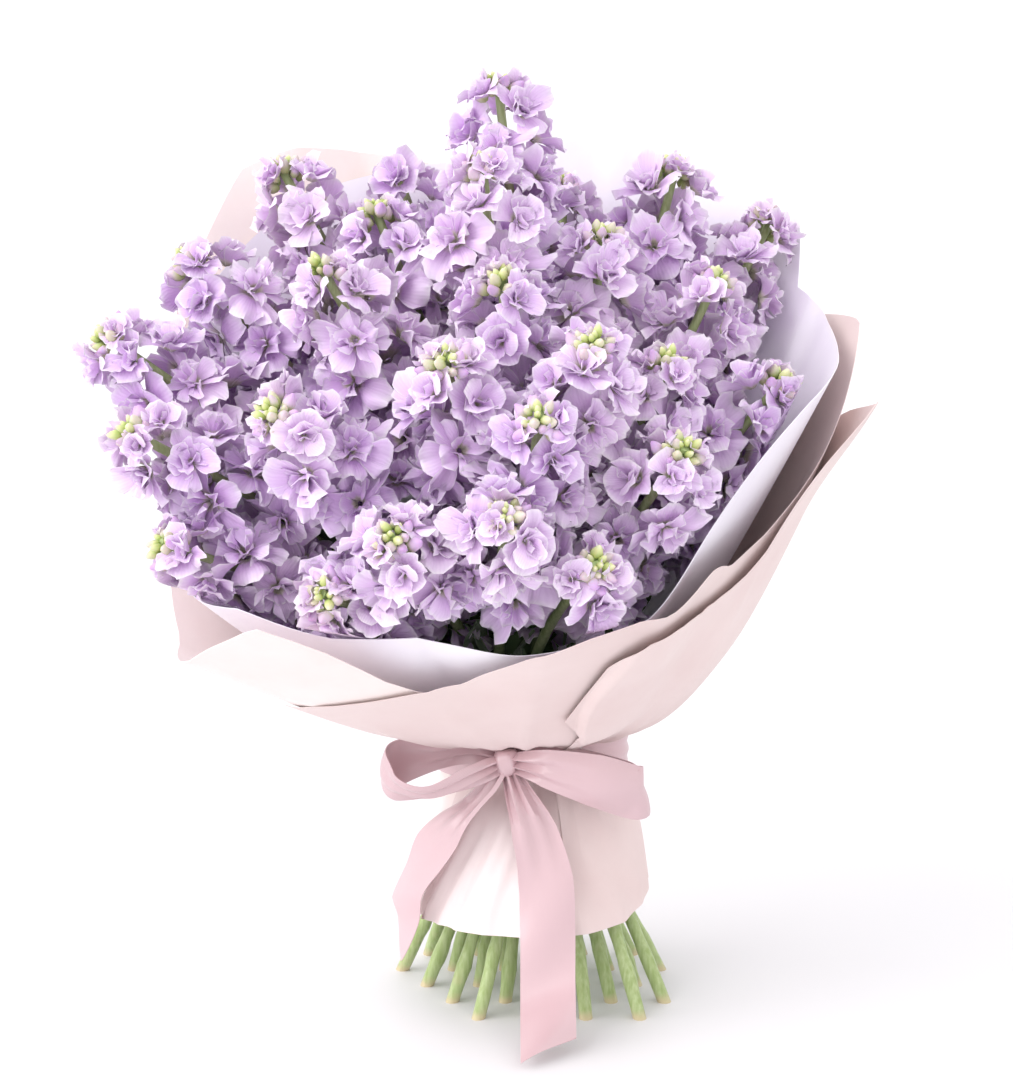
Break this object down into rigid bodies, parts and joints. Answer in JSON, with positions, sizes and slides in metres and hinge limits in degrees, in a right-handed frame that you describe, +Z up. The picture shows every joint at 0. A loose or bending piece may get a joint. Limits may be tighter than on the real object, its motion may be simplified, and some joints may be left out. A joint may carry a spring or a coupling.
{
  "type": "wrapped bouquet of stock flowers",
  "caption": "Hand-tied bouquet of double lilac stock in a white lining and blush outer paper, tied with a pink satin bow, standing on its splayed cut stems.",
  "frame": {"origin": "on the surface the bouquet stands on, under the middle of its whole width and depth", "axes": "+Z up, along its height; -Y is the front, with the bow; +X is the right as seen from the front"},
  "size_m": [0.3632, 0.298, 0.4329],
  "materials": {
    "stem_green": "satin",
    "petal_lilac": "matte",
    "lining_paper": "matte",
    "wrap_paper": "matte",
    "satin_ribbon": "satin",
    "twine": "matte"
  },
  "bodies": {
    "root": {"stem_01": "stem_green", "stem_02": "stem_green", "stem_03": "stem_green", "stem_04": "stem_green", "stem_05": "stem_green", "stem_06": "stem_green", "stem_07": "stem_green", "stem_08": "stem_green", "stem_09": "stem_green", "stem_10": "stem_green", "stem_11": "stem_green", "stem_12": "stem_green", "stem_13": "stem_green", "stem_14": "stem_green", "stem_15": "stem_green", "stem_16": "stem_green", "stem_17": "stem_green", "stem_18": "stem_green", "stem_19": "stem_green", "stem_20": "stem_green", "stem_21": "stem_green", "stem_22": "stem_green", "stem_23": "stem_green", "stem_24": "stem_green", "stem_25": "stem_green", "stem_26": "stem_green", "stem_27": "stem_green", "bloom_01": "petal_lilac", "bloom_02": "petal_lilac", "bloom_03": "petal_lilac", "bloom_04": "petal_lilac", "bloom_05": "petal_lilac", "bloom_06": "petal_lilac", "bloom_07": "petal_lilac", "bloom_08": "petal_lilac", "bloom_09": "petal_lilac", "bloom_10": "petal_lilac", "bloom_11": "petal_lilac", "bloom_12": "petal_lilac", "bloom_13": "petal_lilac", "bloom_14": "petal_lilac", "bloom_15": "petal_lilac", "bloom_16": "petal_lilac", "bloom_17": "petal_lilac", "bloom_18": "petal_lilac", "bloom_19": "petal_lilac", "bloom_20": "petal_lilac", "bloom_21": "petal_lilac", "bloom_22": "petal_lilac", "bloom_23": "petal_lilac", "bloom_24": "petal_lilac", "bloom_25": "petal_lilac", "bloom_26": "petal_lilac", "bloom_27": "petal_lilac", "lining_paper": "lining_paper", "wrap_paper_left": "wrap_paper", "wrap_paper_front": "wrap_paper", "wrap_paper_right": "wrap_paper", "ribbon": "satin_ribbon", "twine": "twine"}
  },
  "joints": []
}
